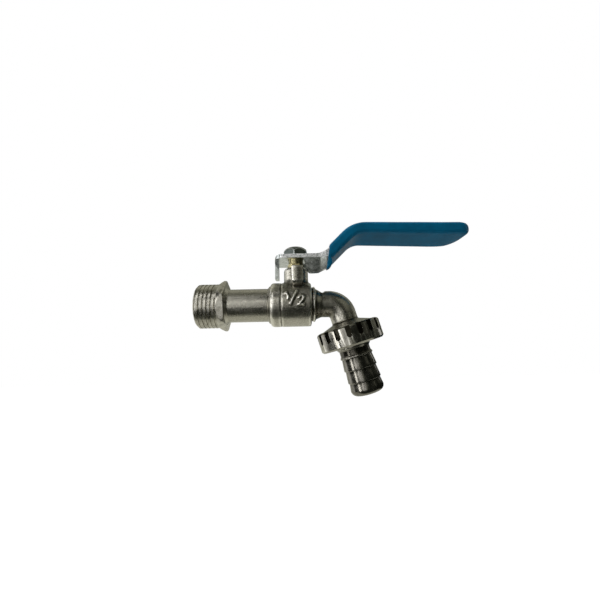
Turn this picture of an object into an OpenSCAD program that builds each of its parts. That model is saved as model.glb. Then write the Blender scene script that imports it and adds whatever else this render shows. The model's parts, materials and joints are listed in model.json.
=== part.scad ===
// Half-inch ball valve tap with a lever handle, a bent spout and a union hose nozzle.
// The origin is on the inlet axis, at the face where the inlet thread meets the hexagon.
// +X runs along the inlet towards the lever's tip, and +Z along the stem. Sizes in millimetres.

/* [Inlet tail] */
// Outside diameter of the half-inch parallel pipe thread
inlet_thread_d = 20.955; // [20.8:0.005:21]
// Length of the thread in front of the hexagon
inlet_thread_len = 10.5; // [8:0.5:14]
// Hexagon across its flats
hex_flats = 21.3; // [21:0.1:22]
// Hexagon along the axis
hex_len = 3.2; // [2.5:0.1:4]
// Outside diameter of the tail's tube
tube_d = 15.8; // [14.8:0.1:16]
// Bore of the tail
tail_bore = 10; // [9:0.5:10.5]

/* [Ball housing] */
// Distance from the hexagon's front face to the stem's axis
stem_x = 36.2; // [32:0.1:40]
// Outside diameter of the housing
housing_d = 21; // [20:0.1:21.5]
// Housing from the stem's axis to its inlet end
housing_back = 12.3; // [12:0.1:13]
// Housing from the stem's axis to its outlet end
housing_front = 7; // [6.8:0.1:8.5]
// Diameter of the ball
ball_d = 15.6; // [15.2:0.1:15.8]
// Waterway through the ball
ball_bore = 9; // [8:0.5:9]

/* [Spout] */
// Outside diameter of the bent neck
neck_d = 12.6; // [12:0.1:13.4]
// Waterway through the bent neck
neck_bore = 8.6; // [8:0.2:9]
// Radius of the bend at the neck's centre line
bend_r = 6.8; // [6.7:0.1:9]
// Where the bend starts, ahead of the stem's axis
bend_start = 15.4; // [13:0.1:17]
// Lean of the spout from straight down
spout_lean = 15.9; // [10:0.1:30]
// Straight neck between the bend and the union nut's upper rim
spout_drop = 6; // [5:0.1:12]
// Outside diameter of the three-quarter-inch parallel pipe thread
outlet_thread_d = 26.44; // [26.4:0.01:26.5]

/* [Union nut and nozzle] */
// Outside diameter of the union nut
nut_d = 30; // [29.6:0.1:32]
// Height of the union nut
nut_h = 9.4; // [8:0.1:10]
// Grip flutes round the union nut
flutes = 18; // [12:1:20]
// Largest diameter of the hose barbs
barb_d = 15.4; // [15:0.1:16]
// Length of one barb
barb_pitch = 5.6; // [5:0.1:6]
// Length of the nozzle below the union nut
nozzle_out = 22.5; // [19:0.5:24]
// Bore of the nozzle
nozzle_bore = 10; // [9:0.5:11]

/* [Stem and lever] */
// Outside diameter of the stem boss
boss_d = 11.7; // [11.2:0.1:12]
// Top of the stem boss above the inlet axis
boss_top = 17.7; // [17.5:0.1:19]
// Diameter of the stem
stem_d = 6; // [5.8:0.1:6.2]
// Thickness of the lever's steel
steel = 1.9; // [1.6:0.1:2.1]
// Width of the lever's hub plate
hub_w = 17.4; // [17:0.1:18]
// Width of the lever's handle, without its sleeve
lever_w = 18.4; // [18:0.1:20]
// Top of the lever's hub plate above the inlet axis
plate_top = 22.75; // [22.4:0.05:23]
// Height at which the lines of the crank and of the handle's top meet
handle_top = 36.9; // [36:0.1:38]
// Fall of the handle from the crank to the tip
handle_fall = 1.2; // [0:0.1:3]
// Reach of the lever's tip from the stem's axis
lever_reach = 85; // [80:0.5:90]
// Rise of the cranked part of the lever
crank_angle = 45; // [40:1:50]
// Thickness of the vinyl grip
grip_wall = 0.9; // [0.8:0.1:1.2]

/* [Hidden] */
$fn = 96;
gap = 0.05;
bite = 0.5;
// Air between faces of separate pieces that bear on each other
film = 0.02;
// Straight runs of the neck lap into the bend and are a hair thinner than it
lap = 0.3;
hair = 0.03;

housing_r = housing_d / 2;
neck_r = neck_d / 2;
boss_r = boss_d / 2;
stem_r = stem_d / 2;
hub_y = hub_w / 2;
lever_y = lever_w / 2;

// Inside the housing
socket_r = 8.6;
socket_len = 5.2;
chamber_r = ball_d / 2 + 0.35;
seat_len = 2.3;
seat_in = 4.5;
seat_r = 7.5;
chamber_front = seat_in + seat_len;

// Up the boss: collar pocket, neck bore and packing box
collar_r = 3.9;
collar_low = 8.2;
collar_top = 9.8;
collar_shelf = 10.4;
packing_low = 13;
packing_r = 4.3;
packing_h = 1.2;
gland_low = packing_low + 2 * packing_h;
gland_top = 19.5;
plate_under = plate_top - steel;
nut_low = plate_top + 0.7;
stem_top = nut_low + 4.7;

// Stack inside the union nut, measured down the spout from its upper rim
spout_rise = 0.4;
seal_face = 4.6;
washer_t = 1.5;
lip_t = 1.4;
flange_low = nut_h - lip_t;

// Lever hub: the rear tab that stops the lever shut and the flange that stops it open
tab_x = 10.35;
tab_near = 2.2;
tab_far = 7.2;
tab_bottom = 13.4;
flange_front = 3.7;
flange_bottom = 13.45;

// Lever's line, seen from its side: a foot bend, the crank and a knee bend
foot_x = 13.25;
foot_bend_r = 9.5;
knee_bend_r = 14.6;
channel_h = 3.6;
tip_r = 8.2;
grip_round = 1.5;
knee_x = foot_x + (handle_top - plate_top) / tan(crank_angle);

// Points on an arc in the plane, from angle a to angle b
function arc(centre, r, a, b, steps = 8) =
    [for (i = [0:steps]) centre + r * [cos(a + (b - a) * i / steps),
        sin(a + (b - a) * i / steps)]];

// Stands local +Z along +X, from the given distance along the inlet
module on_inlet(x) {
    translate([x, 0, 0]) rotate([0, 90, 0]) children();
}

// Stands children on the stem's axis at the given height
module on_stem(z) {
    translate([stem_x, 0, z]) children();
}

// Stands local +Z down the spout, from the union nut's upper rim
module on_spout(s) {
    bend_end = [stem_x + bend_start + bend_r * cos(spout_lean),
        -bend_r * (1 - sin(spout_lean))];
    rim = bend_end + spout_drop * [sin(spout_lean), -cos(spout_lean)];
    translate([rim[0], 0, rim[1]]) rotate([0, 180 - spout_lean, 0])
        translate([0, 0, s]) children();
}

// One bend of the neck, as a part of a torus
module bend(r) {
    translate([stem_x + bend_start, 0, -bend_r]) rotate([90, 0, 0])
        rotate([0, 0, spout_lean]) rotate_extrude(angle = 90 - spout_lean)
            translate([bend_r, 0]) circle(r = r);
}

// Flat ring
module ring(r_out, r_in, h) {
    difference() {
        cylinder(r = r_out, h = h);
        translate([0, 0, -bite]) cylinder(r = r_in, h = h + 2 * bite);
    }
}

// Cylinder along the axis with bevelled ends
module bevelled(r, h, low, high) {
    rotate_extrude() polygon([[0, 0], [r - low, 0], [r, low], [r, h - high],
        [r - high, h], [0, h]]);
}

// Turned outline of the housing, its shoulder and the neck behind it
module housing_outline() {
    x0 = -housing_back;
    x1 = housing_front;
    mark = x0 + socket_len;
    round = 1.8;
    shoulder_r = 7.9;
    bead_r = 8.5;
    polygon(concat([[0, x0], [housing_r - round, x0]],
        arc([housing_r - round, x0 + round], round, -90, 0),
        [[housing_r, mark - 0.35], [housing_r - 0.3, mark - 0.1],
        [housing_r - 0.3, mark + 0.1], [housing_r, mark + 0.35]],
        arc([housing_r - 1, x1 - 1], 1, 0, 90, 4),
        [[shoulder_r, x1], [shoulder_r, x1 + 0.5]],
        arc([bead_r - 0.7, x1 + 1.2], 0.7, -90, 90, 6),
        [[shoulder_r - 0.6, x1 + 2], [neck_r + 0.5, x1 + 3.4],
        [neck_r - hair, x1 + 4.6], [neck_r - hair, bend_start + lap],
        [0, bend_start + lap]]));
}

// Stem boss with a rounded top edge and a cast root
module boss() {
    round = 1.7;
    rotate_extrude() polygon(concat([[0, 0], [boss_r + 1.7, 0], [boss_r + 1.7, 6.6],
        [boss_r + 0.5, 9.4], [boss_r, 11.2]],
        arc([boss_r - round, boss_top - round], round, 0, 90),
        [[0, boss_top]]));
}

// Lug on the boss that the lever's flange meets when open and its tab when shut
module stop_lug() {
    translate([0, 0, 12.6]) linear_extrude(4.6)
        polygon([[-2, 0], [-2, -9.2], [1.8, -9.2], [3.4, -8.7], [3.4, 0]]);
}

// Cast body: ball housing, boss, bent neck and threaded spout
module valve_body() {
    shoulder_h = 2;
    shoulder_r = 12.8;
    color("#b4afa3") difference() {
        union() {
            difference() {
                on_inlet(stem_x) rotate_extrude() housing_outline();
                translate([stem_x + 6.2, -housing_d / 2, 9.9]) rotate([0, 40, 0])
                    cube([8, housing_d, 4]);
            }
            on_stem(0) boss();
            on_stem(0) stop_lug();
            bend(neck_r);
            on_spout(-spout_drop - lap)
                cylinder(r = neck_r - hair, h = spout_drop + lap + 1);
            on_spout(-shoulder_h)
                cylinder(r1 = neck_r + 0.3, r2 = shoulder_r, h = shoulder_h + 0.2);
            on_spout(0.1) cylinder(r = shoulder_r, h = spout_rise);
            on_spout(spout_rise) bevelled(outlet_thread_d / 2 - gap,
                seal_face - spout_rise, 0.5, 0.8);
        }
        on_inlet(stem_x - housing_back - 1)
            cylinder(r = socket_r, h = socket_len + 1);
        on_inlet(stem_x - housing_back + socket_len - 0.01)
            cylinder(r = chamber_r, h = housing_back - socket_len + seat_in);
        on_inlet(stem_x) cylinder(r = seat_r + gap, h = chamber_front);
        on_inlet(stem_x + chamber_front - lap)
            cylinder(r = neck_bore / 2 - hair, h = bend_start - chamber_front + 2 * lap);
        bend(neck_bore / 2);
        on_spout(-spout_drop - lap)
            cylinder(r = neck_bore / 2 - hair, h = spout_drop + seal_face + 1);
        on_stem(0) cylinder(r = collar_r + gap, h = collar_shelf);
        on_stem(0) cylinder(r = stem_r + gap, h = boss_top);
        on_stem(packing_low) cylinder(r = packing_r + gap, h = boss_top);
    }
}

// Screwed-in tail with the inlet thread, a wrench hexagon and a plain tube
module inlet_tail() {
    tube_r = tube_d / 2;
    thread_r = inlet_thread_d / 2;
    corner_r = hex_flats / sqrt(3) - 0.2;
    end = stem_x - housing_back;
    hex_turn = 12;
    color("#b9b5aa") difference() {
        union() {
            on_inlet(-inlet_thread_len) bevelled(thread_r, inlet_thread_len + 0.5, 1, 0);
            intersection() {
                on_inlet(0) rotate([0, 0, hex_turn])
                    cylinder(r = hex_flats / sqrt(3), h = hex_len, $fn = 6);
                on_inlet(0) rotate_extrude() polygon([[0, 0], [thread_r + 0.2, 0],
                    [corner_r, 2.1], [corner_r, hex_len - 0.3],
                    [corner_r - 0.4, hex_len], [0, hex_len]]);
            }
            on_inlet(hex_len - 0.01) cylinder(r1 = tube_r + 1.3, r2 = tube_r, h = 1.3);
            on_inlet(hex_len) cylinder(r = tube_r, h = end - hex_len);
            on_inlet(end - 1.2) cylinder(r1 = tube_r, r2 = socket_r + 0.3, h = 0.7);
            on_inlet(end - 0.5) cylinder(r = socket_r + 0.3, h = 0.5);
            on_inlet(end - 0.1) bevelled(socket_r - gap, socket_len + 0.1, 0, 0.4);
        }
        on_inlet(-inlet_thread_len - bite)
            cylinder(r = tail_bore / 2, h = inlet_thread_len + end + socket_len + 2 * bite);
        on_inlet(-inlet_thread_len - 0.01)
            cylinder(r1 = tail_bore / 2 + 1.2, r2 = tail_bore / 2, h = 1.2);
    }
}

// Plated ball, bored through and slotted across its top for the stem's tongue
module ball() {
    slot_w = 3.2;
    slot_depth = 2.3;
    color("#d8d8d8") difference() {
        on_stem(0) sphere(r = ball_d / 2);
        on_inlet(stem_x - ball_d) cylinder(r = ball_bore / 2, h = 2 * ball_d);
        translate([stem_x - slot_w / 2, -ball_d, ball_d / 2 - slot_depth])
            cube([slot_w, 2 * ball_d, ball_d]);
    }
}

// Seat ring whose inner edge is turned to the ball
module seat() {
    difference() {
        ring(seat_r, ball_bore / 2 + 0.2, seat_len);
        translate([0, 0, -seat_in]) sphere(r = ball_d / 2 + gap);
    }
}

module inlet_seat() {
    color("#f2f2ec") on_inlet(stem_x) mirror([0, 0, 1]) translate([0, 0, seat_in]) seat();
}

module outlet_seat() {
    color("#f2f2ec") on_inlet(stem_x + seat_in) seat();
}

// Blow-out proof stem: tongue, collar, shaft, two flats through the lever, threaded end
module stem() {
    tongue_w = 3.1;
    tongue_low = ball_d / 2 - 2.1;
    flats = 4.6;
    color("#c2a45e") {
        intersection() {
            on_stem(tongue_low) cylinder(r = collar_r - 0.3, h = collar_low - tongue_low + 0.1);
            translate([stem_x - tongue_w / 2, -collar_r, 0])
                cube([tongue_w, 2 * collar_r, boss_top]);
        }
        on_stem(collar_low) cylinder(r = collar_r, h = collar_top - collar_low);
        on_stem(collar_top - 0.01) cylinder(r = stem_r, h = gland_top + 0.2 - collar_top);
        on_stem(gland_top + gap)
            cylinder(r = stem_r + 0.5, h = plate_under - gland_top - gap);
        intersection() {
            union() {
                on_stem(plate_under - 0.01) cylinder(r = stem_r, h = steel - 0.1);
                on_stem(plate_top - 0.2)
                    bevelled(stem_r - 0.35, stem_top - 0.2 - plate_top, 0, 0.5);
            }
            translate([stem_x - stem_r, -flats / 2, plate_under - 1])
                cube([stem_d, flats, stem_top]);
        }
    }
}

module thrust_washer() {
    color("#f2f2ec") on_stem(collar_top + film)
        ring(collar_r, stem_r + gap, collar_shelf - collar_top - film);
}

module packing_lower() {
    color("#f2f2ec") on_stem(packing_low) ring(packing_r, stem_r + gap, packing_h);
}

module packing_upper() {
    color("#e6e6de") on_stem(packing_low + packing_h)
        ring(packing_r, stem_r + gap, packing_h);
}

// Brass gland screwed into the boss, with a hexagon head above it
module gland_nut() {
    color("#c9ab5c") difference() {
        union() {
            on_stem(gland_low) cylinder(r = packing_r, h = boss_top - gland_low);
            intersection() {
                on_stem(boss_top - 0.01)
                    cylinder(r = 4.2, h = gland_top - boss_top, $fn = 6);
                on_stem(boss_top - 0.01) bevelled(4.05, gland_top - boss_top, 0, 0.3);
            }
        }
        on_stem(gland_low - bite) cylinder(r = stem_r + gap, h = gland_top);
    }
}

// One point of the lever's line with its direction: [x, z, angle]. The line is the steel's
// top face. It runs level over the hub, climbs the crank and falls along the handle.
function on_foot(a) = let (r = foot_bend_r) [foot_x - r * tan(crank_angle / 2) + r * sin(a),
    plate_top + r - r * cos(a), a];

function on_knee(a) = let (r = knee_bend_r, turn = crank_angle + handle_fall,
    mid = (crank_angle - handle_fall) / 2, to_centre = r / cos(turn / 2))
    [knee_x + to_centre * sin(mid) - r * sin(a),
    handle_top - to_centre * cos(mid) + r * cos(a), a];

function on_handle(x) = [x, handle_top - (x - knee_x) * tan(handle_fall), -handle_fall];

// The line from the hub to the given x on the handle, moved up by lift
function lever_line(lift, x1) = [for (p = concat([[-tab_x, plate_top, 0]],
    [for (i = [0:6]) on_foot(i / 6 * crank_angle)],
    [for (i = [0:10]) on_knee(crank_angle - i / 10 * (crank_angle + handle_fall))],
    [on_handle(x1)])) [p[0] - lift * sin(p[2]), p[1] + lift * cos(p[2])]];

// Side outline of a band that follows the line, between two heights above it
module lever_band(high, low, x1) {
    under = lever_line(low, x1);
    translate([stem_x, 0]) polygon(concat(lever_line(high, x1),
        [for (i = [len(under) - 1:-1:0]) under[i]]));
}

// Stands a side outline upright, from one y to another
module across(y0, y1) {
    translate([0, y1, 0]) rotate([90, 0, 0]) linear_extrude(y1 - y0) children();
}

// Plan of the lever: a hub with round corners, a slightly wider arm and a rounded tip
module lever_plan(grow) {
    reach = lever_reach - grip_wall + grow;
    y = lever_y + grow;
    flare = [11.5, 14.5];
    translate([stem_x, 0]) polygon(concat([[-tab_x, tab_near], [-tab_x + 0.2, -1.5]],
        arc([-5.5, -hub_y + 4.2], 4.2, 190, 270),
        [[flare[0], -hub_y], [flare[1], -y]],
        arc([reach - tip_r, -y + tip_r], tip_r, -90, 0, 10),
        arc([reach - tip_r, y - tip_r], tip_r, 0, 90, 10),
        [[flare[1], y], [flare[0], hub_y]],
        arc([-tab_x + 3.2, hub_y - 3.2], 3.2, 90, 180)));
}

// Deep flange on the near side of the hub; its front edge meets the stop lug
module flange_side() {
    round = 1.6;
    top = plate_top - steel / 2;
    front = flange_front + 1.7;
    translate([stem_x, 0]) polygon(concat([[flange_front, top], [flange_front + 0.1, 20.5]],
        arc([front + round, flange_bottom + round], round, 190, 270),
        [[10.4, flange_bottom + 0.15], [14, flange_bottom + 1.9],
        [15.9, flange_bottom + 4.4], [17, 22], [17, top]]));
}

// Pressed steel lever: hub plate, rear stop tab, near flange and a shallow channel
module lever() {
    hole_flats = 4.7;
    near_lip = 7.7;
    far_lip = -2;
    rear_bend_r = 2.4;
    color("#c8ccce") difference() {
        intersection() {
            union() {
                across(-lever_y, lever_y) lever_band(0, -steel, 200);
                across(-lever_y, -hub_y + steel) {
                    intersection() {
                        lever_band(0, -channel_h, 200);
                        translate([stem_x + near_lip, 0]) square([200, 60]);
                    }
                    flange_side();
                }
                intersection() {
                    across(hub_y - steel, lever_y) lever_band(0, -channel_h, 200);
                    translate([stem_x + far_lip, 0, 0]) cube([200, lever_w, 60]);
                }
                translate([stem_x - tab_x, tab_near, tab_bottom])
                    cube([steel, tab_far - tab_near, plate_top - 1 - tab_bottom]);
            }
            linear_extrude(60) lever_plan(0);
        }
        translate([stem_x - tab_x + rear_bend_r, -lever_y, plate_top - rear_bend_r])
            difference() {
                translate([-2 * rear_bend_r, 0, 0]) cube([2 * rear_bend_r, lever_w, steel * 2]);
                translate([0, -1, 0]) rotate([-90, 0, 0])
                    cylinder(r = rear_bend_r, h = lever_w + 2);
            }
        on_stem(plate_under - 1) intersection() {
            cylinder(r = stem_r + gap, h = steel + 2);
            translate([-stem_d, -hole_flats / 2, 0]) cube([2 * stem_d, hole_flats, 9]);
        }
    }
}

// Outline of the grip, square to the lever's line at a station: [point, half width, inset]
function grip_loop(station) = let (p = station[0], r = grip_round,
    high = grip_wall - station[2] - r,
    low = -channel_h - grip_wall - 0.015 * max(0, p[0] - knee_x) + station[2] + r)
    [for (side = [[1, high, 0], [-1, high, 90], [-1, low, 180], [1, low, 270]], i = [0:6])
        let (a = side[2] + 15 * i, u = side[1] + r * sin(a))
        [stem_x + p[0] - u * sin(p[2]), side[0] * (station[1] - r) + r * cos(a),
        p[1] + u * cos(p[2])]];

// Skin lofted through the loops, closed at both ends
module loft(loops) {
    n = len(loops[0]);
    last = len(loops) - 1;
    polyhedron([for (points = loops) each points],
        concat([[for (i = [0:n - 1]) i]], [[for (i = [n - 1:-1:0]) last * n + i]],
        [for (k = [0:last - 1], i = [0:n - 1]) [k * n + i, (k + 1) * n + i,
            (k + 1) * n + (i + 1) % n]],
        [for (k = [0:last - 1], i = [0:n - 1]) [k * n + i, (k + 1) * n + (i + 1) % n,
            k * n + (i + 1) % n]]));
}

// Vinyl sleeve drawn over the handle and the end of the flange, closed round the tip
module lever_grip() {
    w = lever_y + grip_wall;
    turn = crank_angle + handle_fall;
    tip = lever_reach - tip_r;
    end = lever_reach - grip_round;
    stations = concat([for (i = [2:6]) [on_foot(i / 6 * crank_angle), w, 0]],
        [for (i = [0:12]) [on_knee(crank_angle - i / 12 * turn), w, 0]],
        [for (a = [0:10:50]) [on_handle(tip + tip_r * sin(a)), w - tip_r * (1 - cos(a)), 0]],
        [for (a = [0:15:90]) let (x = end + grip_round * sin(a)) [on_handle(x),
            w - tip_r + sqrt(max(0, tip_r * tip_r - (x - tip) * (x - tip))),
            grip_round * (1 - cos(a))]]);
    cut_lean = 9.5;
    color("#0b6590") difference() {
        union() {
            loft([for (s = stations) grip_loop(s)]);
            translate([stem_x + 13.2, -hub_y + steel + grip_wall, 18.4]) rotate([90, 0, 0])
                cylinder(r = 3.7, h = lever_y - hub_y + steel + 2 * grip_wall);
        }
        translate([stem_x + 15.8, 0, 25.6]) rotate([0, cut_lean, 0])
            translate([-20, -20, -30]) cube([20, 40, 60]);
        intersection() {
            across(-lever_y - gap, lever_y + gap) union() {
                lever_band(gap, -channel_h - gap, 200);
                flange_side();
            }
            linear_extrude(60) lever_plan(gap);
        }
    }
}

module lever_washer() {
    color("#9aa0a2") on_stem(plate_top) ring(6.4, stem_r - 0.3, nut_low - plate_top);
}

// Hexagon nut that holds the lever on the stem
module lever_nut() {
    flats = 11;
    top = stem_top - nut_low;
    color("#3f4648") difference() {
        intersection() {
            on_stem(nut_low) rotate([0, 0, 24])
                cylinder(r = flats / sqrt(3), h = top, $fn = 6);
            on_stem(nut_low) rotate_extrude() polygon(concat([[0, 0], [6.1, 0], [6.35, 0.3],
                [6.35, top - 2.4]], arc([2.65, top - 3.7], 3.7, 20, 90, 6), [[0, top]]));
        }
        on_stem(nut_low - bite) cylinder(r = stem_r - 0.3, h = 6);
    }
}

// Union nut with grip flutes down the upper half of its rim
module union_nut() {
    r = nut_d / 2;
    flute_w = 2.3;
    flute_depth = 0.7;
    flute_len = 4.4;
    color("#a9a69d") difference() {
        on_spout(0) rotate_extrude() polygon([[0, 0], [r - 1.4, 0], [r - 0.5, 0.3],
            [r, 1], [r, nut_h - 0.8], [r - 0.8, nut_h], [0, nut_h]]);
        on_spout(-bite) cylinder(r = outlet_thread_d / 2, h = flange_low + bite);
        on_spout(0) cylinder(r = barb_d / 2 + 0.3, h = nut_h + bite);
        for (i = [0:flutes - 1]) on_spout(0) rotate([0, 0, 360 * i / flutes]) {
            translate([r - flute_depth, -flute_w / 2, -bite])
                cube([2, flute_w, flute_len + bite]);
            translate([r - flute_depth, 0, flute_len]) rotate([0, 90, 0])
                cylinder(d = flute_w, h = 2);
        }
    }
}

module nozzle_washer() {
    color("#2b2b2b") on_spout(seal_face + film) ring(12.6, nozzle_bore / 2 + 0.5, washer_t - film);
}

// Turned hose nozzle: a flange under the nut, then barbs that widen away from the tip
module hose_nozzle() {
    r = barb_d / 2;
    low = nut_h + nozzle_out;
    valley = 0.5;
    first = nut_h + 5.1;
    tip_round = 2.6;
    color("#8f8f86") difference() {
        on_spout(0) rotate_extrude() polygon(concat([[0, seal_face + washer_t],
            [12.6, seal_face + washer_t], [12.6, flange_low - film],
            [r + 0.3, flange_low - film], [r + 0.3, nut_h + 0.6], [r - valley, nut_h + 1.6],
            [r - valley, first - 1.4], [r, first - 0.4], [r, first]],
            [for (i = [0:1]) each [[r - valley, first + i * barb_pitch + 0.3],
                [r, first + (i + 1) * barb_pitch - 0.7], [r, first + (i + 1) * barb_pitch]]],
            [[r - valley, first + 2 * barb_pitch + 0.3]],
            arc([r - tip_round, low - tip_round], tip_round, 0, 90), [[0, low]]));
        on_spout(seal_face) cylinder(r = nozzle_bore / 2, h = nut_h + nozzle_out);
    }
}

valve_body();
inlet_tail();
ball();
inlet_seat();
outlet_seat();
stem();
thrust_washer();
packing_lower();
packing_upper();
gland_nut();
lever();
lever_grip();
lever_washer();
lever_nut();
union_nut();
nozzle_washer();
hose_nozzle();
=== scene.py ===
# Half-inch ball valve tap with a cranked lever in a blue vinyl sleeve, a bent spout and a
# union nut that holds a barbed hose nozzle. Everything is in metres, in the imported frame:
# +X runs along the inlet to the lever's tip and +Z along the stem.
import json
import math

import bmesh
import bpy
import numpy as np
from mathutils import Matrix, Vector


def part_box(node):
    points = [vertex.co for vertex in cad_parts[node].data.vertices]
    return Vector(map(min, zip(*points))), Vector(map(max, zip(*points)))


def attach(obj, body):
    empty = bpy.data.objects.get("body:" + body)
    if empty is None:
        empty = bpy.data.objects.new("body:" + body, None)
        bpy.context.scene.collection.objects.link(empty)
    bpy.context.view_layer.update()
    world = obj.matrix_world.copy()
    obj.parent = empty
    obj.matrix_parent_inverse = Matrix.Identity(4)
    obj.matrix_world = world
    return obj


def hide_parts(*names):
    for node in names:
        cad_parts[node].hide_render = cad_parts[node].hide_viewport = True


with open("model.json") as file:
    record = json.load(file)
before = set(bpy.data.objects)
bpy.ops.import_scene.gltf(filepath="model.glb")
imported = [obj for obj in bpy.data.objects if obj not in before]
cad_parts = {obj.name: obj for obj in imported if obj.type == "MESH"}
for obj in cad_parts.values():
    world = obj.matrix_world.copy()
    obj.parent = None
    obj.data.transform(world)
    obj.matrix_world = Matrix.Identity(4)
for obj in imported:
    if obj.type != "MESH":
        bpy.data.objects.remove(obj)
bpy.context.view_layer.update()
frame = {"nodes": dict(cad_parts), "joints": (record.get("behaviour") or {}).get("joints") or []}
scene = bpy.context.scene
MM = 0.001
joints = {joint["name"]: joint for joint in frame["joints"]}
stem_x = joints["lever_turn"]["pos_m"][0]


# Valve body
# One sand casting in brass: ball housing, stem boss with its stop lug, bent neck and spout.
# It is tumbled and nickel plated as cast, so its edges are soft and its skin stays grainy.

CAST_VOXEL = 0.3 * MM
CAST_PASSES = 4
GRAIN = 0.42 * MM           # coarser than real sand grain, so that it shows at this distance
GRAIN_DEPTH = 0.07 * MM
CLOUD = 6 * MM              # the duller and the brighter patches on the plating
SAME_POINT = 0.001 * MM
SAME_PLANE = math.radians(0.4)
LEVEL = 0.5                 # the "hollow" of skin that is neither hollow nor proud
HOLLOW_GAIN = 4


def linear(colour):
    """Scene-linear RGBA of an sRGB hex colour."""
    parts = [int(colour[i:i + 2], 16) / 255 for i in (1, 3, 5)]
    return [c / 12.92 if c <= 0.04045 else ((c + 0.055) / 1.055) ** 2.4 for c in parts] + [1.0]


def add(tree, kind, sockets=None, **settings):
    """Adds a node, sets its properties, and sets or links its input sockets."""
    node = tree.nodes.new(kind)
    for key, value in settings.items():
        setattr(node, key, value)
    for key, value in (sockets or {}).items():
        if isinstance(value, bpy.types.NodeSocket):
            tree.links.new(value, node.inputs[key])
        else:
            node.inputs[key].default_value = value
    return node


def metal_or_plastic(name, **sockets):
    """A new material with its tree, its shader and its Object coordinates."""
    material = bpy.data.materials.new(name)
    material.use_nodes = True
    tree = material.node_tree
    tree.nodes.clear()
    shader = add(tree, "ShaderNodeBsdfPrincipled",
                 {key.replace("_", " "): value for key, value in sockets.items()})
    output = add(tree, "ShaderNodeOutputMaterial")
    tree.links.new(shader.outputs["BSDF"], output.inputs["Surface"])
    place = add(tree, "ShaderNodeTexCoord").outputs["Object"]
    return material, tree, shader, place


def merged_copy(node, name):
    """A copy of a CAD node whose loose triangles are joined into one clean skin."""
    mesh = frame["nodes"][node].data.copy()
    mesh.name = name
    mesh.materials.clear()
    skin = bmesh.new()
    skin.from_mesh(mesh)
    bmesh.ops.remove_doubles(skin, verts=skin.verts, dist=SAME_POINT)
    bmesh.ops.dissolve_limit(skin, angle_limit=SAME_PLANE, verts=skin.verts,
                             edges=skin.edges)
    skin.to_mesh(mesh)
    skin.free()
    if "custom_normal" in mesh.attributes:
        mesh.attributes.remove(mesh.attributes["custom_normal"])
    piece = bpy.data.objects.new(name, mesh)
    scene.collection.objects.link(piece)
    return piece


def set_to_result(piece):
    """Makes the piece's modifiers its plain mesh."""
    bpy.context.view_layer.update()
    evaluated = piece.evaluated_get(bpy.context.evaluated_depsgraph_get())
    mesh = bpy.data.meshes.new_from_object(evaluated)
    piece.modifiers.clear()
    piece.data = mesh


def soften(piece, voxel, passes):
    """Rounds every edge a little, as casting, plating or dipping does."""
    remesh = piece.modifiers.new("skin", "REMESH")
    remesh.mode = "VOXEL"
    remesh.voxel_size = voxel
    smooth = piece.modifiers.new("tumbled", "SMOOTH")
    smooth.factor = 0.5
    smooth.iterations = passes
    set_to_result(piece)
    piece.data.shade_smooth()


def find_hollows(piece, rounds):
    """Stores how hollow (above LEVEL) or proud (below it) the skin is at each of its points,
    evened out between neighbours in a number of rounds."""
    mesh = piece.data
    count = len(mesh.vertices)
    points = np.empty(count * 3)
    normals = np.empty(count * 3)
    pairs = np.empty(len(mesh.edges) * 2, dtype=int)
    mesh.vertices.foreach_get("co", points)
    mesh.vertices.foreach_get("normal", normals)
    mesh.edges.foreach_get("vertices", pairs)
    points, normals, pairs = (a.reshape(-1, n) for a, n in
                              ((points, 3), (normals, 3), (pairs, 2)))
    first, second = pairs.T
    step = points[second] - points[first]
    length = np.linalg.norm(step, axis=1) + 1e-9
    links = np.bincount(first, minlength=count) + np.bincount(second, minlength=count)
    rise = (np.bincount(first, (step * normals[first]).sum(1) / length, count)
            - np.bincount(second, (step * normals[second]).sum(1) / length, count)) / links
    for _ in range(rounds):
        rise = (rise + (np.bincount(first, rise[second], count)
                        + np.bincount(second, rise[first], count)) / links) / 2
    layer = mesh.attributes.new("hollow", "FLOAT", "POINT")
    layer.data.foreach_set("value", np.clip(LEVEL + rise * HOLLOW_GAIN, 0, 1))


def put_on(piece, material, body, slot, *nodes):
    """Gives a finished piece its material, and says what it rides on and stands for."""
    piece.data.materials.clear()
    piece.data.materials.append(material)
    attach(piece, body)
    if nodes:
        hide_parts(*nodes)


def wear_grime_and_painted_light(tree, tone, rub_and_highlight, rub_highlight_colour, grime_and_shade, grime_shade_colour):
    """Brightens a metal's proud skin, as rubbed plating and painted highlight, and darkens its
    hollows, as grime and painted shade. The first range says where the brightening begins and
    where it is full, and the second the darkening, on the scale of the "hollow" attribute."""
    hollow = add(tree, "ShaderNodeAttribute", attribute_name="hollow").outputs["Fac"]
    rub_highlight_mask = add(tree, "ShaderNodeMapRange",
                  {"Value": hollow, "From Min": rub_and_highlight[0], "From Max": rub_and_highlight[1]})
    rub_highlighted = add(tree, "ShaderNodeMix", {"Factor": rub_highlight_mask.outputs["Result"], "A": tone,
                                         "B": linear(rub_highlight_colour)}, data_type="RGBA")
    grime_shade_ramp = add(tree, "ShaderNodeValToRGB", {"Fac": hollow})
    grime_shade_ramp.color_ramp.elements[0].position = grime_and_shade[0]
    grime_shade_ramp.color_ramp.elements[0].color = linear("#ffffff")
    grime_shade_ramp.color_ramp.elements[1].position = grime_and_shade[1]
    grime_shade_ramp.color_ramp.elements[1].color = linear(grime_shade_colour)
    grime_shaded = add(tree, "ShaderNodeMix", {"Factor": 1.0, "A": rub_highlighted.outputs["Result"],
                                          "B": grime_shade_ramp.outputs["Color"]},
                  data_type="RGBA", blend_type="MULTIPLY")
    return grime_shaded.outputs["Result"]
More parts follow.
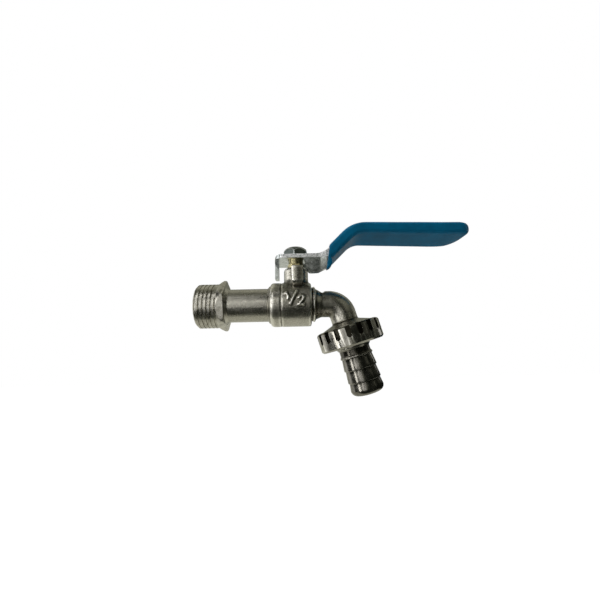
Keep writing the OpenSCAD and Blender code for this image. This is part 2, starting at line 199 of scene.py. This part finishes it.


# Nickel over tumbled cast brass: a warm grey metal, lighter on the high grains and darker in
# the pits, with soft broken highlights, its edges brightened as rubbed plating and painted
# highlight, and its corners darkened with grime and painted shade.
cast_nickel, tree, shader, place = metal_or_plastic("nickel_plated_cast_brass", Metallic=1.0)
grain = add(tree, "ShaderNodeTexNoise", {"Vector": place, "Scale": 1 / GRAIN, "Detail": 4.0,
                                         "Roughness": 0.65}).outputs["Fac"]
clouds = add(tree, "ShaderNodeTexNoise", {"Vector": place, "Scale": 1 / CLOUD,
                                          "Detail": 2.0}).outputs["Fac"]
tone = add(tree, "ShaderNodeValToRGB", {"Fac": grain})
tone.color_ramp.elements[0].position = 0.36
tone.color_ramp.elements[0].color = linear("#98958a")
tone.color_ramp.elements[1].position = 0.56
tone.color_ramp.elements[1].color = linear("#c4c1b6")
dull = add(tree, "ShaderNodeMapRange", {"Value": clouds, "From Min": 0.35, "From Max": 0.65,
                                        "To Min": 0.22, "To Max": 0.32})
bump = add(tree, "ShaderNodeBump", {"Height": grain, "Strength": 0.9,
                                    "Distance": GRAIN_DEPTH})
colour = wear_grime_and_painted_light(tree, tone.outputs["Color"], rub_and_highlight=(0.46, 0.3), rub_highlight_colour="#efece2",
                 grime_and_shade=(0.44, 0.72), grime_shade_colour="#7d7a70")
tree.links.new(colour, shader.inputs["Base Color"])
tree.links.new(dull.outputs["Result"], shader.inputs["Roughness"])
tree.links.new(bump.outputs["Normal"], shader.inputs["Normal"])

valve_body = merged_copy("valve_body", "valve_body_casting")

# The stop lug's face follows the boss's curve and runs down into it in a cast fillet. Its
# outline is the distance from the stem's axis and the height, in millimetres. It is swept
# round the stem, in degrees from straight towards the near side.
LUG_OUTLINE = [(9.45, 16.9), (9.45, 9.9), (8.7, 8.8), (6.8, 7.8), (4.0, 7.8), (4.0, 16.9)]
LUG_FROM = -12
LUG_TO = 20
LUG_STEPS = 8
lug_turns = [math.radians(LUG_FROM + (LUG_TO - LUG_FROM) * i / LUG_STEPS)
             for i in range(LUG_STEPS + 1)]
lug = bmesh.new()
rings = [[lug.verts.new((stem_x + r * math.sin(turn) * MM, -r * math.cos(turn) * MM, z * MM))
          for r, z in LUG_OUTLINE] for turn in lug_turns]
lug.faces.new(rings[0])
lug.faces.new(rings[-1])
for ring, after in zip(rings, rings[1:]):
    for i in range(len(ring)):
        lug.faces.new((ring[i - 1], ring[i], after[i], after[i - 1]))
bmesh.ops.recalc_face_normals(lug, faces=lug.faces)
lug.from_mesh(valve_body.data)
lug.to_mesh(valve_body.data)
lug.free()

# The thread size, 1/2, stands on the near side of the housing as half-round ridges. Each
# figure is a line of points in millimetres, right and up from the stem's axis along the
# curved skin.
RIDGE_R = 0.58 * MM
RIDGE_LIFT = 0.05 * MM      # the ridge's middle stands off the skin by this
RIDGE_STEP = 1.2 * MM       # longer edges are cut up, so that they bend round the housing
RIDGE_CUTS = 7
HOUSING_R = 10.5 * MM
FIGURES = {
    "one": [(-5.3, 3.5), (-4.5, 4.7), (-3.5, 1.2)],
    "slash": [(0.4, 5.5), (-2.8, -1.2)],
    "two": [(1.1, 1.4), (1.3, 2.1), (2.0, 2.5), (2.9, 2.4), (3.3, 1.7), (3.1, 1.0),
            (2.3, 0.0), (0.9, -1.4), (3.6, -1.4)],
}
ridges = bmesh.new()
for name, line in FIGURES.items():
    curve = bpy.data.curves.new(name, "CURVE")
    curve.dimensions = "3D"
    curve.bevel_depth = RIDGE_R
    curve.bevel_resolution = 3
    curve.use_fill_caps = True
    stroke = curve.splines.new("POLY")
    stroke.points.add(len(line) - 1)
    for point, (right, up) in zip(stroke.points, line):
        point.co = (right * MM, up * MM, 0, 1)
    holder = bpy.data.objects.new(name, curve)
    scene.collection.objects.link(holder)
    bpy.context.view_layer.update()
    ridges.from_mesh(bpy.data.meshes.new_from_object(
        holder.evaluated_get(bpy.context.evaluated_depsgraph_get())))
    bpy.data.objects.remove(holder)
bmesh.ops.subdivide_edges(ridges, edges=[e for e in ridges.edges
                                         if e.calc_length() > RIDGE_STEP],
                          cuts=RIDGE_CUTS)
for vertex in ridges.verts:
    right, up, out = vertex.co
    angle, radius = up / HOUSING_R, HOUSING_R + out + RIDGE_LIFT
    vertex.co = (stem_x + right, -radius * math.cos(angle), radius * math.sin(angle))
bmesh.ops.recalc_face_normals(ridges, faces=ridges.faces)
ridges.from_mesh(valve_body.data)
ridges.to_mesh(valve_body.data)
ridges.free()
soften(valve_body, CAST_VOXEL, CAST_PASSES)
find_hollows(valve_body, rounds=5)
put_on(valve_body, cast_nickel, "tap", "nickel_cast", "valve_body")


# Inlet tail
# A forged and turned brass tail: half-inch pipe thread, wrench hexagon and plain tube,
# screwed into the housing. The thread is cut by one round-nosed groove along a helix.

THREAD_R = 20.955 / 2 * MM
PITCH = 1.814 * MM
GROOVE_R = 0.5 * MM
GROOVE_SINK = 0.2 * MM
THREAD_START = -11.8 * MM
THREAD_END = -0.4 * MM
TUBE_START = 5.2 * MM
SHARP_ABOVE = math.radians(32)
BLOTCH = 2.5 * MM
RIPPLE = 0.8 * MM
RIPPLE_DEPTH = 0.03 * MM


def named_input(tree, name, kind):
    """Adds an input to a Geometry Nodes group, and gives the identifier that sets it."""
    return tree.interface.new_socket(name, in_out="INPUT", socket_type=kind).identifier


def thread_cutter():
    """Geometry nodes that cut one helical groove, along X, into the mesh they are given."""
    tree = bpy.data.node_groups.new("cut_pipe_thread", "GeometryNodeTree")
    named_input(tree, "Mesh", "NodeSocketGeometry")
    tree.interface.new_socket("Mesh", in_out="OUTPUT", socket_type="NodeSocketGeometry")
    sizes = {name: named_input(tree, name, "NodeSocketFloat")
             for name in ("Groove centre radius", "Groove radius", "Turns", "Length", "Start")}
    sizes["Metal"] = named_input(tree, "Metal", "NodeSocketMaterial")
    given = add(tree, "NodeGroupInput").outputs
    helix = add(tree, "GeometryNodeCurveSpiral", {
        "Resolution": 64, "Rotations": given["Turns"], "Height": given["Length"],
        "Start Radius": given["Groove centre radius"],
        "End Radius": given["Groove centre radius"]})
    nose = add(tree, "GeometryNodeCurvePrimitiveCircle",
               {"Resolution": 14, "Radius": given["Groove radius"]}, mode="RADIUS")
    groove = add(tree, "GeometryNodeCurveToMesh", {
        "Curve": helix.outputs["Curve"], "Profile Curve": nose.outputs["Curve"],
        "Fill Caps": True})
    start = add(tree, "ShaderNodeCombineXYZ", {"X": given["Start"]})
    placed = add(tree, "GeometryNodeTransform", {
        "Geometry": groove.outputs["Mesh"], "Translation": start.outputs["Vector"],
        "Rotation": (0, math.radians(90), 0)})
    cut = add(tree, "GeometryNodeMeshBoolean", {"Mesh 1": given["Mesh"],
              "Mesh 2": placed.outputs["Geometry"]}, operation="DIFFERENCE", solver="EXACT")
    real = add(tree, "GeometryNodeRealizeInstances", {"Geometry": cut.outputs["Mesh"]})
    finish = add(tree, "GeometryNodeSetMaterial", {
        "Geometry": real.outputs["Geometry"], "Material": given["Metal"]})
    add(tree, "NodeGroupOutput", {"Mesh": finish.outputs["Geometry"]})
    return tree, sizes


def turned_metal(name, low, high, roughness):
    """Nickel over turned brass: smooth, with faint blotches and ripples, brightened on its proud
    edges as rubbed plating and painted highlight, and a little darkened in its grooves as grime
    and painted shade."""
    material, tree, shader, place = metal_or_plastic(name, Metallic=1.0)
    blotch = add(tree, "ShaderNodeTexNoise", {"Vector": place, "Scale": 1 / BLOTCH,
                                              "Detail": 5.0}).outputs["Fac"]
    tone = add(tree, "ShaderNodeValToRGB", {"Fac": blotch})
    tone.color_ramp.elements[0].position = 0.35
    tone.color_ramp.elements[0].color = linear(low)
    tone.color_ramp.elements[1].position = 0.6
    tone.color_ramp.elements[1].color = linear(high)
    dull = add(tree, "ShaderNodeMapRange", {"Value": blotch, "From Min": 0.3, "From Max": 0.7,
                                            "To Min": roughness, "To Max": roughness + 0.1})
    ripple = add(tree, "ShaderNodeTexNoise", {"Vector": place, "Scale": 1 / RIPPLE,
                                              "Detail": 3.0}).outputs["Fac"]
    bump = add(tree, "ShaderNodeBump", {"Height": ripple, "Strength": 0.06,
                                        "Distance": RIPPLE_DEPTH})
    colour = wear_grime_and_painted_light(tree, tone.outputs["Color"], rub_and_highlight=(0.45, 0.25), rub_highlight_colour="#e9e6dc",
                     grime_and_shade=(0.55, 0.85), grime_shade_colour="#6d6a62")
    tree.links.new(colour, shader.inputs["Base Color"])
    tree.links.new(dull.outputs["Result"], shader.inputs["Roughness"])
    tree.links.new(bump.outputs["Normal"], shader.inputs["Normal"])
    return material


# The tail's bright nickel is as warm and grey as the casting's.
turned_nickel = turned_metal("nickel_plated_turned_brass", "#9b988d", "#c2bfb4", 0.24)

inlet_tail = merged_copy("inlet_tail", "inlet_tail_threaded")
cutter_tree, cutter_sizes = thread_cutter()
cutter = inlet_tail.modifiers.new("thread", "NODES")
cutter.node_group = cutter_tree
for name, value in (("Groove centre radius", THREAD_R - GROOVE_SINK),
                    ("Groove radius", GROOVE_R),
                    ("Turns", (THREAD_END - THREAD_START) / PITCH),
                    ("Length", THREAD_END - THREAD_START),
                    ("Start", THREAD_START),
                    ("Metal", turned_nickel)):
    cutter[cutter_sizes[name]] = value
set_to_result(inlet_tail)
inlet_tail.data.shade_smooth()
inlet_tail.data.set_sharp_from_angle(angle=SHARP_ABOVE)
put_on(inlet_tail, turned_nickel, "tap", "nickel_turned", "inlet_tail")
# Only the thread and the hexagon are machined. The tube keeps its rough skin, and is plated
# like the casting.
inlet_tail.data.materials.append(cast_nickel)
for face in inlet_tail.data.polygons:
    face.material_index = int(face.center.x > TUBE_START)
level_skin = inlet_tail.data.attributes.new("hollow", "FLOAT", "POINT")
level_skin.data.foreach_set("value", [LEVEL] * len(inlet_tail.data.vertices))


# Union nut and nozzle
# The nut is turned from brass bar, with short flutes milled into its upper rim for the
# fingers. The nozzle is turned too: a flange held by the nut, then three hose barbs.

NECK_R = 8.0 * MM
HAIR = 0.06 * MM
NUT_EASE = 0.25 * MM
NOZZLE_EASE = 0.28 * MM
EASE_ABOVE = math.radians(28)
EASED_WIDTH = 0.15 * MM     # a face narrower than this belongs to an eased edge
FLUTE_REACH = (13.0 * MM, 14.85 * MM)
FLUTE_TILT = 0.5            # the most that a flute face's normal may lie along the spout's axis
HOLLOW_ABOVE = 0.55         # a face more hollow than this lies in a groove
PROUD_MARK = 0.3
GROOVE_MARK = 0.78
FLUTE_MARK = 1.0


def ease_edges(piece, width):
    """Breaks the sharp edges of turned or pressed metal with a small round bevel."""
    bevel = piece.modifiers.new("broken_edges", "BEVEL")
    bevel.width = width
    bevel.segments = 3
    bevel.limit_method = "ANGLE"
    bevel.angle_limit = EASE_ABOVE
    bevel.miter_outer = "MITER_ARC"
    bevel.use_clamp_overlap = True
    piece.data.shade_smooth()
    weigh = piece.modifiers.new("flat_faces", "WEIGHTED_NORMAL")
    weigh.mode = "FACE_AREA_WITH_ANGLE"
    set_to_result(piece)


def mark_eased_edges(piece):
    """Stores "hollow" by face: proud on the narrow faces of the eased edges, hollow in the
    grooves, and level on the rest."""
    find_hollows(piece, rounds=0)
    mesh = piece.data
    by_point = [point.value for point in mesh.attributes["hollow"].data]
    mesh.attributes.remove(mesh.attributes["hollow"])
    layer = mesh.attributes.new("hollow", "FLOAT", "FACE")
    for face, mark in zip(mesh.polygons, layer.data):
        width = min((mesh.vertices[a].co - mesh.vertices[b].co).length
                    for a, b in face.edge_keys)
        hollow = sum(by_point[i] for i in face.vertices) / len(face.vertices)
        if hollow > HOLLOW_ABOVE:
            mark.value = GROOVE_MARK
        else:
            mark.value = PROUD_MARK if width < EASED_WIDTH else LEVEL


# The nut's nickel is painted a shade darker than the tail's, and the nozzle's darker still: the
# same plating, with painted shade.
nut_nickel_painted_shade = turned_metal("dull_nickel_plated_brass", "#85827a", "#a5a298", 0.16)
nozzle_nickel_painted_shade = turned_metal("dark_nickel_plated_brass", "#6a6861", "#86837b", 0.16)

spout_point = Vector(joints["nut_turn"]["pos_m"])
spout_axis = Vector(joints["nut_turn"]["axis"]).normalized()


def off_spout(point):
    """The shortest way from the spout's axis out to a point."""
    way = point - spout_point
    return way - spout_axis * way.dot(spout_axis)


# The nut's hole is opened by a hair, so that it turns freely round the nozzle's neck.
union_nut = merged_copy("union_nut", "union_nut_fluted")
for vertex in union_nut.data.vertices:
    outward = off_spout(vertex.co)
    if outward.length < NECK_R + HAIR:
        vertex.co += outward.normalized() * HAIR
ease_edges(union_nut, NUT_EASE)
mark_eased_edges(union_nut)
# The flutes, whose faces lie inside the rim and look outwards, are marked as deep hollows, which
# darkens them with grime and painted shade.
marks = union_nut.data.attributes["hollow"].data
for face in union_nut.data.polygons:
    if (FLUTE_REACH[0] < off_spout(face.center).length < FLUTE_REACH[1]
            and abs(face.normal.dot(spout_axis)) < FLUTE_TILT):
        marks[face.index].value = FLUTE_MARK
put_on(union_nut, nut_nickel_painted_shade, "nut", "nickel_turned", "union_nut")

hose_nozzle = merged_copy("hose_nozzle", "hose_nozzle_barbed")
ease_edges(hose_nozzle, NOZZLE_EASE)
mark_eased_edges(hose_nozzle)
put_on(hose_nozzle, nozzle_nickel_painted_shade, "nozzle", "nickel_turned", "hose_nozzle")


# Lever
# Pressed from 1.9 mm steel and zinc plated: a hub plate over the stem, a tab bent down
# behind, a deep flange on the near side, and a shallow channel that runs under the sleeve.

SHEARED_FROM = 20.95 * MM    # the height of the hub plate's underside
SHEARED_TO = -8.3 * MM       # its near edge is at -8.7 mm
FADE_UP = 0.1 * MM
FADE_IN = 0.15 * MM
LEVER_EASE = 0.4 * MM
SPANGLE = 1.6 * MM
SPANGLE_DEPTH = 0.04 * MM
BURR = 0.7 * MM

zinc, tree, shader, place = metal_or_plastic("zinc_plated_steel", Metallic=1.0)
spangle = add(tree, "ShaderNodeTexNoise", {"Vector": place, "Scale": 1 / SPANGLE,
                                           "Detail": 4.0}).outputs["Fac"]
tone = add(tree, "ShaderNodeValToRGB", {"Fac": spangle})
tone.color_ramp.elements[0].position = 0.35
tone.color_ramp.elements[0].color = linear("#adb2b1")
tone.color_ramp.elements[1].position = 0.62
tone.color_ramp.elements[1].color = linear("#c9cdcd")
dull = add(tree, "ShaderNodeMapRange", {"Value": spangle, "From Min": 0.3, "From Max": 0.7,
                                        "To Min": 0.18, "To Max": 0.28})
bump = add(tree, "ShaderNodeBump", {"Height": spangle, "Strength": 0.12,
                                    "Distance": SPANGLE_DEPTH})
# The plate's near edge is rough as sheared, and painted lighter than the rolled faces, up to
# white: a painted highlight.
where = add(tree, "ShaderNodeSeparateXYZ", {"Vector": place}).outputs
above = add(tree, "ShaderNodeMapRange", {"Value": where["Z"],
                                         "From Min": SHEARED_FROM - FADE_UP,
                                         "From Max": SHEARED_FROM + FADE_UP})
near = add(tree, "ShaderNodeMapRange", {"Value": where["Y"], "From Min": SHEARED_TO,
                                        "From Max": SHEARED_TO - FADE_IN})
sheared_highlit_edge = add(tree, "ShaderNodeMath", {0: above.outputs["Result"], 1: near.outputs["Result"]},
              operation="MULTIPLY").outputs[0]
burr = add(tree, "ShaderNodeTexNoise", {"Vector": place, "Scale": 1 / BURR,
                                        "Detail": 1.0}).outputs["Fac"]
edge_highlight_tone = add(tree, "ShaderNodeValToRGB", {"Fac": burr})
edge_highlight_tone.color_ramp.elements[0].position = 0.4
edge_highlight_tone.color_ramp.elements[0].color = linear("#d3d7d6")
edge_highlight_tone.color_ramp.elements[1].position = 0.55
edge_highlight_tone.color_ramp.elements[1].color = linear("#ffffff")
colour = add(tree, "ShaderNodeMix", {"Factor": sheared_highlit_edge, "A": tone.outputs["Color"],
                                     "B": edge_highlight_tone.outputs["Color"]}, data_type="RGBA")
matt = add(tree, "ShaderNodeMapRange", {"Value": sheared_highlit_edge, "To Min": dull.outputs["Result"],
                                        "To Max": 0.6})
tree.links.new(colour.outputs["Result"], shader.inputs["Base Color"])
tree.links.new(matt.outputs["Result"], shader.inputs["Roughness"])
tree.links.new(bump.outputs["Normal"], shader.inputs["Normal"])

lever = merged_copy("lever", "lever_pressed")
ease_edges(lever, LEVER_EASE)
put_on(lever, zinc, "handle", "zinc_steel", "lever")


# Lever grip
# A blue vinyl sleeve, made by dipping and pushed over the handle. It is satin and a little
# uneven, and every edge is round.

VINYL_VOXEL = 0.42 * MM
VINYL_PASSES = 3
TIP_LENGTH = 18 * MM
TIP_DEPTH = 9 * MM
TIP_RISE = 2.6 * MM
TIP_CROWN = 3.2 * MM
TIP_BACK = 1.6 * MM
FLOW = 7 * MM
WRINKLE = 1.5 * MM
WRINKLE_DEPTH = 0.04 * MM

vinyl, tree, shader, place = metal_or_plastic("satin_blue_vinyl", Roughness=0.42,
                                              Specular_IOR_Level=0.12)
flow = add(tree, "ShaderNodeTexNoise", {"Vector": place, "Scale": 1 / FLOW,
                                        "Detail": 3.0}).outputs["Fac"]
tone = add(tree, "ShaderNodeValToRGB", {"Fac": flow})
tone.color_ramp.elements[0].position = 0.3
tone.color_ramp.elements[0].color = linear("#005f82")
tone.color_ramp.elements[1].position = 0.7
tone.color_ramp.elements[1].color = linear("#006c93")
wrinkle = add(tree, "ShaderNodeTexNoise", {"Vector": place, "Scale": 1 / WRINKLE,
                                           "Detail": 2.0}).outputs["Fac"]
bump = add(tree, "ShaderNodeBump", {"Height": wrinkle, "Strength": 0.3,
                                    "Distance": WRINKLE_DEPTH})
tree.links.new(tone.outputs["Color"], shader.inputs["Base Color"])
tree.links.new(bump.outputs["Normal"], shader.inputs["Normal"])

lever_grip = merged_copy("lever_grip", "lever_grip_sleeve")
soften(lever_grip, VINYL_VOXEL, VINYL_PASSES)
# The smoothing shortens the closed tip a little. This draws it out again, lifts its lower
# edge, so that it tapers from below, and rounds it about its crown.
real_tip, _, real_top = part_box("lever_grip")[1]
short_tip = max(vertex.co.x for vertex in lever_grip.data.vertices)
for vertex in lever_grip.data.vertices:
    share = max(0, (vertex.co.x - short_tip + TIP_LENGTH) / TIP_LENGTH)
    depth = min(1, (real_top - vertex.co.z) / TIP_DEPTH)
    vertex.co.x += share * (real_tip - short_tip)
    vertex.co.z += share ** 3 * depth * TIP_RISE
    off_crown = (real_top - vertex.co.z - TIP_CROWN) / TIP_CROWN
    vertex.co.x -= share ** 4 * off_crown ** 2 * TIP_BACK
put_on(lever_grip, vinyl, "handle", "blue_vinyl", "lever_grip")


# Stem, gland and nut
# The brass stem's shoulder and the gland's head show between the boss and the lever. A dark
# plated steel nut with a domed top clamps the lever, over a thin plated washer.

STEEL_VOXEL = 0.16 * MM
STEEL_PASSES = 3
BRASS_BLOTCH = 0.9 * MM
OXIDE = 1.2 * MM
PIT_DEPTH = 0.03 * MM


def coat(node, material):
    """Gives a CAD node its finish."""
    mesh = frame["nodes"][node].data
    mesh.materials.clear()
    mesh.materials.append(material)


# Bare turned brass: yellow, with fine blotches and clear reflections.
brass, tree, shader, place = metal_or_plastic("turned_brass", Metallic=1.0, Roughness=0.26)
blotches = add(tree, "ShaderNodeTexNoise", {"Vector": place, "Scale": 1 / BRASS_BLOTCH,
                                            "Detail": 3.0}).outputs["Fac"]
tone = add(tree, "ShaderNodeValToRGB", {"Fac": blotches})
tone.color_ramp.elements[0].color = linear("#c4b27a")
tone.color_ramp.elements[1].color = linear("#f2e8c0")
bump = add(tree, "ShaderNodeBump", {"Height": blotches, "Strength": 0.3,
                                    "Distance": PIT_DEPTH})
tree.links.new(tone.outputs["Color"], shader.inputs["Base Color"])
tree.links.new(bump.outputs["Normal"], shader.inputs["Normal"])

# Dark plating over steel, brightened on the corners of the hexagon as rubbed plating and painted
# highlight.
dark_steel, tree, shader, place = metal_or_plastic("dark_plated_steel", Metallic=1.0,
                                                   Roughness=0.34)
oxide = add(tree, "ShaderNodeTexNoise", {"Vector": place, "Scale": 1 / OXIDE,
                                         "Detail": 4.0}).outputs["Fac"]
tone = add(tree, "ShaderNodeValToRGB", {"Fac": oxide})
tone.color_ramp.elements[0].color = linear("#4b504d")
tone.color_ramp.elements[1].color = linear("#757c79")
bump = add(tree, "ShaderNodeBump", {"Height": oxide, "Strength": 0.4,
                                    "Distance": PIT_DEPTH})
proud = add(tree, "ShaderNodeAttribute", attribute_name="hollow").outputs["Fac"]
rubbed_and_highlit = add(tree, "ShaderNodeMapRange", {"Value": proud, "From Min": 0.42, "From Max": 0.3})
colour = add(tree, "ShaderNodeMix", {"Factor": rubbed_and_highlit.outputs["Result"],
                                     "A": tone.outputs["Color"], "B": linear("#e4e8e6")},
             data_type="RGBA")
tree.links.new(colour.outputs["Result"], shader.inputs["Base Color"])
tree.links.new(bump.outputs["Normal"], shader.inputs["Normal"])

lever_nut = merged_copy("lever_nut", "lever_nut_domed")
soften(lever_nut, STEEL_VOXEL, STEEL_PASSES)
find_hollows(lever_nut, rounds=1)
put_on(lever_nut, dark_steel, "handle", "dark_steel", "lever_nut")
coat("stem", brass)
coat("gland_nut", brass)
coat("lever_washer", zinc)


# Ball, seats and packings
# Inside the housing: a chrome-plated brass ball between two white PTFE seats, PTFE rings
# round the stem, and a rubber washer under the nozzle's flange.


def mottled(name, patch, low, high, **sockets):
    """A material whose colour drifts between two tones, in patches of the given size."""
    material, tree, shader, place = metal_or_plastic(name, **sockets)
    drift = add(tree, "ShaderNodeTexNoise", {"Vector": place, "Scale": 1 / patch})
    tone = add(tree, "ShaderNodeValToRGB", {"Fac": drift.outputs["Fac"]})
    tone.color_ramp.elements[0].color = linear(low)
    tone.color_ramp.elements[1].color = linear(high)
    tree.links.new(tone.outputs["Color"], shader.inputs["Base Color"])
    return material


chrome = mottled("polished_chrome", 3 * MM, "#c9cbcd", "#e6e7e9", Metallic=1.0, Roughness=0.08)
ptfe = mottled("white_ptfe", 1 * MM, "#e9e9e3", "#f6f6f1", Roughness=0.45)
rubber = mottled("black_rubber", 0.7 * MM, "#161616", "#2b2b2b", Roughness=0.7)
coat("ball", chrome)
coat("nozzle_washer", rubber)
for ring in ("inlet_seat", "outlet_seat", "thrust_washer", "packing_lower", "packing_upper"):
    coat(ring, ptfe)


# Camera
# The camera stands a little below the inlet and looks up at the tap, as the photograph's
# does. Its place is measured from the stem's axis.

CAMERA_PLACE = Vector((stem_x + 0.3 * MM, -145.5 * MM, -22.75 * MM))
CAMERA_YAW = math.radians(-0.55)
CAMERA_RISE = math.radians(9.76)
CAMERA_ROLL = math.radians(-1.27)
FOCAL_PIXELS = 306.5
FRAME_PIXELS = 600

forward = Vector((-math.sin(CAMERA_YAW) * math.cos(CAMERA_RISE),
                  math.cos(CAMERA_YAW) * math.cos(CAMERA_RISE), math.sin(CAMERA_RISE)))
level = Vector((math.cos(CAMERA_YAW), math.sin(CAMERA_YAW), 0))
upright = level.cross(forward)
right = math.cos(CAMERA_ROLL) * level + math.sin(CAMERA_ROLL) * upright
up = math.cos(CAMERA_ROLL) * upright - math.sin(CAMERA_ROLL) * level
camera_data = bpy.data.cameras.new("camera")
camera_data.sensor_width = 36
camera_data.lens = FOCAL_PIXELS / FRAME_PIXELS * camera_data.sensor_width
camera_data.clip_start = 0.005
camera_data.clip_end = 50
camera = bpy.data.objects.new("camera", camera_data)
scene.collection.objects.link(camera)
camera.matrix_world = Matrix.Translation(CAMERA_PLACE) @ Matrix(
    (right, up, -forward)).transposed().to_4x4()
scene.camera = camera


# Floor, world and lamps
# A white floor well below the tap, a white world, two soft boxes, and dark and bright cards
# that only reflections see, which give the plated metal its dark bands and its highlights.

FLOOR_Z = -0.3
FLOOR_HALF = 3.0
ROOM_LIGHT = 0.18
FLOOR_GLOW = 0.9


def shown(tree):
    """One for a ray from the camera, a reflection or glass, and zero for the light that falls
    on things, so that the background is white and adds little light."""
    seen = add(tree, "ShaderNodeLightPath").outputs
    ray = add(tree, "ShaderNodeMath", {0: seen["Is Camera Ray"], 1: seen["Is Glossy Ray"]},
              operation="ADD")
    ray = add(tree, "ShaderNodeMath", {0: ray.outputs[0], 1: seen["Is Transmission Ray"]},
              operation="ADD", use_clamp=True)
    return ray.outputs[0]


paper = bpy.data.materials.new("white_paper")
paper.use_nodes = True
tree = paper.node_tree
tree.nodes.clear()
glow = add(tree, "ShaderNodeMath", {0: shown(tree), 1: FLOOR_GLOW}, operation="MULTIPLY")
matt = add(tree, "ShaderNodeBsdfDiffuse", {"Color": linear("#f4f4f2")})
lit = add(tree, "ShaderNodeEmission", {"Strength": glow.outputs[0]})
both = add(tree, "ShaderNodeAddShader", {0: matt.outputs[0], 1: lit.outputs[0]})
add(tree, "ShaderNodeOutputMaterial", {"Surface": both.outputs[0]})
floor_mesh = bpy.data.meshes.new("floor")
floor_mesh.from_pydata([(x * FLOOR_HALF, y * FLOOR_HALF, FLOOR_Z) for x, y in
                        ((-1, -1), (1, -1), (1, 1), (-1, 1))], [], [(0, 1, 2, 3)])
floor_mesh.materials.append(paper)
floor = bpy.data.objects.new("floor", floor_mesh)
scene.collection.objects.link(floor)

world = bpy.data.worlds.new("white_room")
world.use_nodes = True
tree = world.node_tree
tree.nodes.clear()
strength = add(tree, "ShaderNodeMapRange", {"Value": shown(tree), "To Min": ROOM_LIGHT,
                                            "To Max": 1.0})
sky = add(tree, "ShaderNodeBackground", {"Color": (1, 1, 1, 1),
                                         "Strength": strength.outputs["Result"]})
add(tree, "ShaderNodeOutputWorld", {"Surface": sky.outputs[0]})
scene.world = world
scene.view_settings.view_transform = "Standard"


def soft_box(name, place, width, height, brightness):
    """An area lamp that faces the tap and isn't seen in reflections. Its face has the given
    brightness, where 1 is white."""
    lamp = bpy.data.lights.new(name, "AREA")
    lamp.shape = "RECTANGLE"
    lamp.size = width * MM
    lamp.size_y = height * MM
    lamp.energy = brightness * math.pi * lamp.size * lamp.size_y
    holder = bpy.data.objects.new(name, lamp)
    scene.collection.objects.link(holder)
    place = Vector(place) * MM
    holder.matrix_world = Matrix.Translation(place + Vector((stem_x, 0, 0))) @ (
        -place).to_track_quat("-Z", "Y").to_matrix().to_4x4()
    holder.visible_glossy = False


def card(name, across, along, height, shade, strength=1.0):
    """A flat card that only reflections see. One of its three spans is a single plane."""
    paint = bpy.data.materials.new(name)
    paint.use_nodes = True
    tree = paint.node_tree
    tree.nodes.clear()
    tone = add(tree, "ShaderNodeEmission", {"Color": linear(shade), "Strength": strength})
    add(tree, "ShaderNodeOutputMaterial", {"Surface": tone.outputs[0]})
    spans = [across, along, height]
    flat = next(i for i, span in enumerate(spans) if not isinstance(span, tuple))
    u, v = [i for i in range(3) if i != flat]
    corners = []
    for i, j in ((0, 0), (1, 0), (1, 1), (0, 1)):
        corner = [0, 0, 0]
        corner[flat], corner[u], corner[v] = spans[flat], spans[u][i], spans[v][j]
        corners.append(Vector(corner) * MM + Vector((stem_x, 0, 0)))
    mesh = bpy.data.meshes.new(name)
    mesh.from_pydata(corners, [], [(0, 1, 2, 3)])
    mesh.materials.append(paint)
    board = bpy.data.objects.new(name, mesh)
    scene.collection.objects.link(board)
    board.visible_camera = False
    board.visible_diffuse = False
    board.visible_shadow = False
    board.visible_transmission = False


# Two soft lamps give the shadows and the even light. The metal's look comes from the cards:
# dark and pale walls round the tap, and small bright panels for the highlights, as they lie
# in the photograph. Places and spans are in millimetres from the stem's axis.
soft_box("left_box", (-330, -240, 160), 300, 240, 2.4)
soft_box("top_box", (40, -60, 600), 500, 400, 4.2)
DARK, DIM, SOFT, PALE = "#2b2d28", "#87887c", "#bdbdb0", "#d6d6ca"
card("floor_front", (-600, 420), (-280, -50), -290, "#3c3e38")
card("floor_back", (-600, 420), (-50, 500), -289, PALE)
card("back_wall", (-600, 420), 499, (-290, 60), PALE)
card("back_high", (-600, 420), 500, (60, 500), DIM)
card("back_low", (30, 330), 300, (-150, -20), "#153038")
card("front_low", (-112, 420), -281, (-290, -95), DARK)
card("front_left", (-600, -122), -281, (-290, 500), DARK)
card("front_right", (2, 150), -281, (-95, 500), DARK)
card("far_right", (150, 420), -281, (-95, 90), DARK)
card("far_right_high", (150, 420), -281, (90, 500), DIM)
card("front_middle", (-48, 2), -281, (40, 190), "#c6c6ba")
card("front_dim", (-48, 2), -281, (-95, 40), "#85867b")
card("front_high", (-122, 2), -281, (190, 420), DARK)
card("front_top", (-122, 2), -281, (420, 500), "#ffffff", 1.8)
card("ceiling_front", (-600, 30), (-280, 20), 500, "#75766b")
card("ceiling_right", (30, 420), (-280, 20), 500, DARK)
card("ceiling_back", (-600, 420), (20, 500), 500, SOFT)
card("right_low", 420, (-280, 500), (-290, 100), DARK)
card("right_high", 420, (-280, 500), (100, 500), DIM)
card("left_low", -600, (-280, 200), (-290, -60), DARK)
card("left_top", -600, (-280, 200), (235, 500), DARK)
card("bright_wall", -599, (-280, 80), (-50, 235), "#ffffff", 2.4)
card("bright_low", (-600, -415), -279, (-200, 50), "#ffffff", 6.5)
card("bright_nozzle", (-240, -140), -279, (-90, -10), "#ffffff", 2.3)
card("bright_boss", (-280, -150), -279, (230, 400), "#ffffff", 3.2)
card("bright_stem", (-400, -200), -279, (60, 190), "#ffffff", 2.4)
card("bright_thread", (-152, -106), -278, (20, 64), "#ffffff", 3.2)
card("bright_line", (-130, -46), -279, (88, 132), "#ffffff", 2.7)
card("bright_right", 419, (150, 230), (70, 130), "#ffffff", 1.3)
card("right_front", 419, (-280, -35), (100, 260), DARK)
